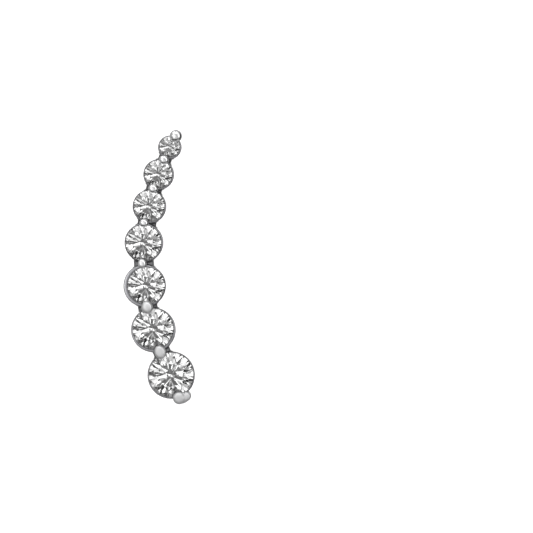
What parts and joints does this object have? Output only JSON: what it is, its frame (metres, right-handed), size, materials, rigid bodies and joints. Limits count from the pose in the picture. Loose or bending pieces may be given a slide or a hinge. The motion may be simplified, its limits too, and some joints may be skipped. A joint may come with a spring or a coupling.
{
  "type": "ear climber",
  "caption": "Curved row of graduated round clear stones in prong-set cups, with a plain bent ear wire running behind the row from its largest stone.",
  "frame": {"origin": "on the plane that the ear wire rests on, under the middle of the row's outline", "axes": "+Z the way the stones face, +Y along the row from the largest stone at its foot to the smallest at its tip, +X to the right as seen from the front"},
  "size_m": [0.0052, 0.02, 0.0075],
  "materials": {
    "setting_metal": "white gold, cast, polished, rhodium plated",
    "wire_metal": "white gold, drawn wire, polished, rhodium plated",
    "clear_stone": "colourless, faceted and polished"
  },
  "bodies": {
    "root": {"setting": "setting_metal", "ear_wire": "wire_metal", "stone_1": "clear_stone", "stone_2": "clear_stone", "stone_3": "clear_stone", "stone_4": "clear_stone", "stone_5": "clear_stone", "stone_6": "clear_stone", "stone_7": "clear_stone"}
  },
  "joints": []
}
